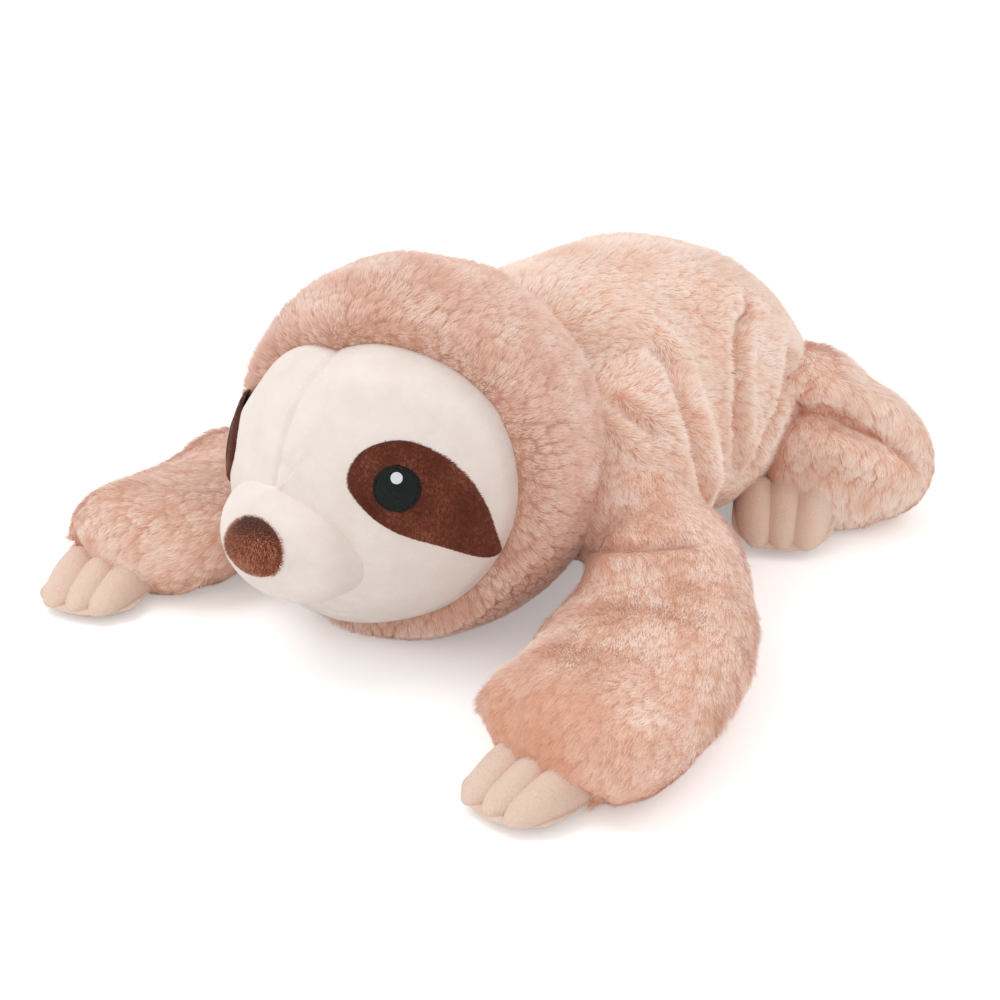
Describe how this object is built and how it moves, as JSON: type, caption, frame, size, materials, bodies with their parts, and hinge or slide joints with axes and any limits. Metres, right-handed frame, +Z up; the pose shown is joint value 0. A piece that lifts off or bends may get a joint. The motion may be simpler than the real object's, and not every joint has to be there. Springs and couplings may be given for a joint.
{
  "type": "plush sloth",
  "caption": "Stuffed plush sloth that lies on its belly with its arms spread forward; its head turns and its limbs swing on their sewn seams.",
  "frame": {"origin": "on the surface that the toy lies on, under the middle of its box", "axes": "+Z up, -Y the way the toy faces, +X to the toy's left"},
  "size_m": [0.448, 0.5064, 0.2215],
  "materials": {
    "body_fur": "long soft pile plush, peach",
    "hood_fur": "long soft pile plush, dusty rose brown",
    "cream_plush": "short velvety pile, cream",
    "brown_plush": "short pile plush, dark reddish brown",
    "nose_plush": "short pile plush, brown",
    "dark_thread": "satin stitch embroidery, green black",
    "white_thread": "satin stitch embroidery, white",
    "claw_suede": "fine suede-like knit, beige",
    "stuffing": "loose polyester fibre fill"
  },
  "bodies": {
    "torso": {"body_skin": "body_fur", "body_stuffing": "stuffing"},
    "head": {"head_hood": "hood_fur", "head_stuffing": "stuffing", "face_panel_left": "cream_plush", "face_panel_right": "cream_plush", "muzzle": "cream_plush", "nose": "nose_plush", "eye_patch_left": "brown_plush", "eye_left": "dark_thread", "eye_glint_left": "white_thread", "eye_patch_right": "brown_plush", "eye_right": "dark_thread", "eye_glint_right": "white_thread"},
    "arm_left": {"arm_left_skin": "body_fur", "arm_left_stuffing": "stuffing", "claw_top_arm_left": "claw_suede", "claw_sole_arm_left": "claw_suede"},
    "arm_right": {"arm_right_skin": "body_fur", "arm_right_stuffing": "stuffing", "claw_top_arm_right": "claw_suede", "claw_sole_arm_right": "claw_suede"},
    "leg_left": {"leg_left_skin": "body_fur", "leg_left_stuffing": "stuffing", "claw_top_leg_left": "claw_suede", "claw_sole_leg_left": "claw_suede"},
    "leg_right": {"leg_right_skin": "body_fur", "leg_right_stuffing": "stuffing", "claw_top_leg_right": "claw_suede", "claw_sole_leg_right": "claw_suede"}
  },
  "joints": [
    {"name": "head_turn", "type": "hinge", "parent": "torso", "child": "head", "pos_m": [-0.02305, -0.02377, 0.098], "axis": [0, 0, 1], "range_deg": [-10, 20]},
    {"name": "arm_left_swing", "type": "hinge", "parent": "torso", "child": "arm_left", "pos_m": [0.07694, -0.00977, 0.076], "axis": [0, 0, 1], "range_deg": [-4, 40]},
    {"name": "arm_right_swing", "type": "hinge", "parent": "torso", "child": "arm_right", "pos_m": [-0.12305, -0.00977, 0.076], "axis": [0, 0, -1], "range_deg": [0, 45]},
    {"name": "leg_left_swing", "type": "hinge", "parent": "torso", "child": "leg_left", "pos_m": [0.05695, 0.19523, 0.068], "axis": [0, 0, 1], "range_deg": [0, 35]},
    {"name": "leg_right_swing", "type": "hinge", "parent": "torso", "child": "leg_right", "pos_m": [-0.10305, 0.19523, 0.068], "axis": [0, 0, -1], "range_deg": [0, 35]}
  ]
}
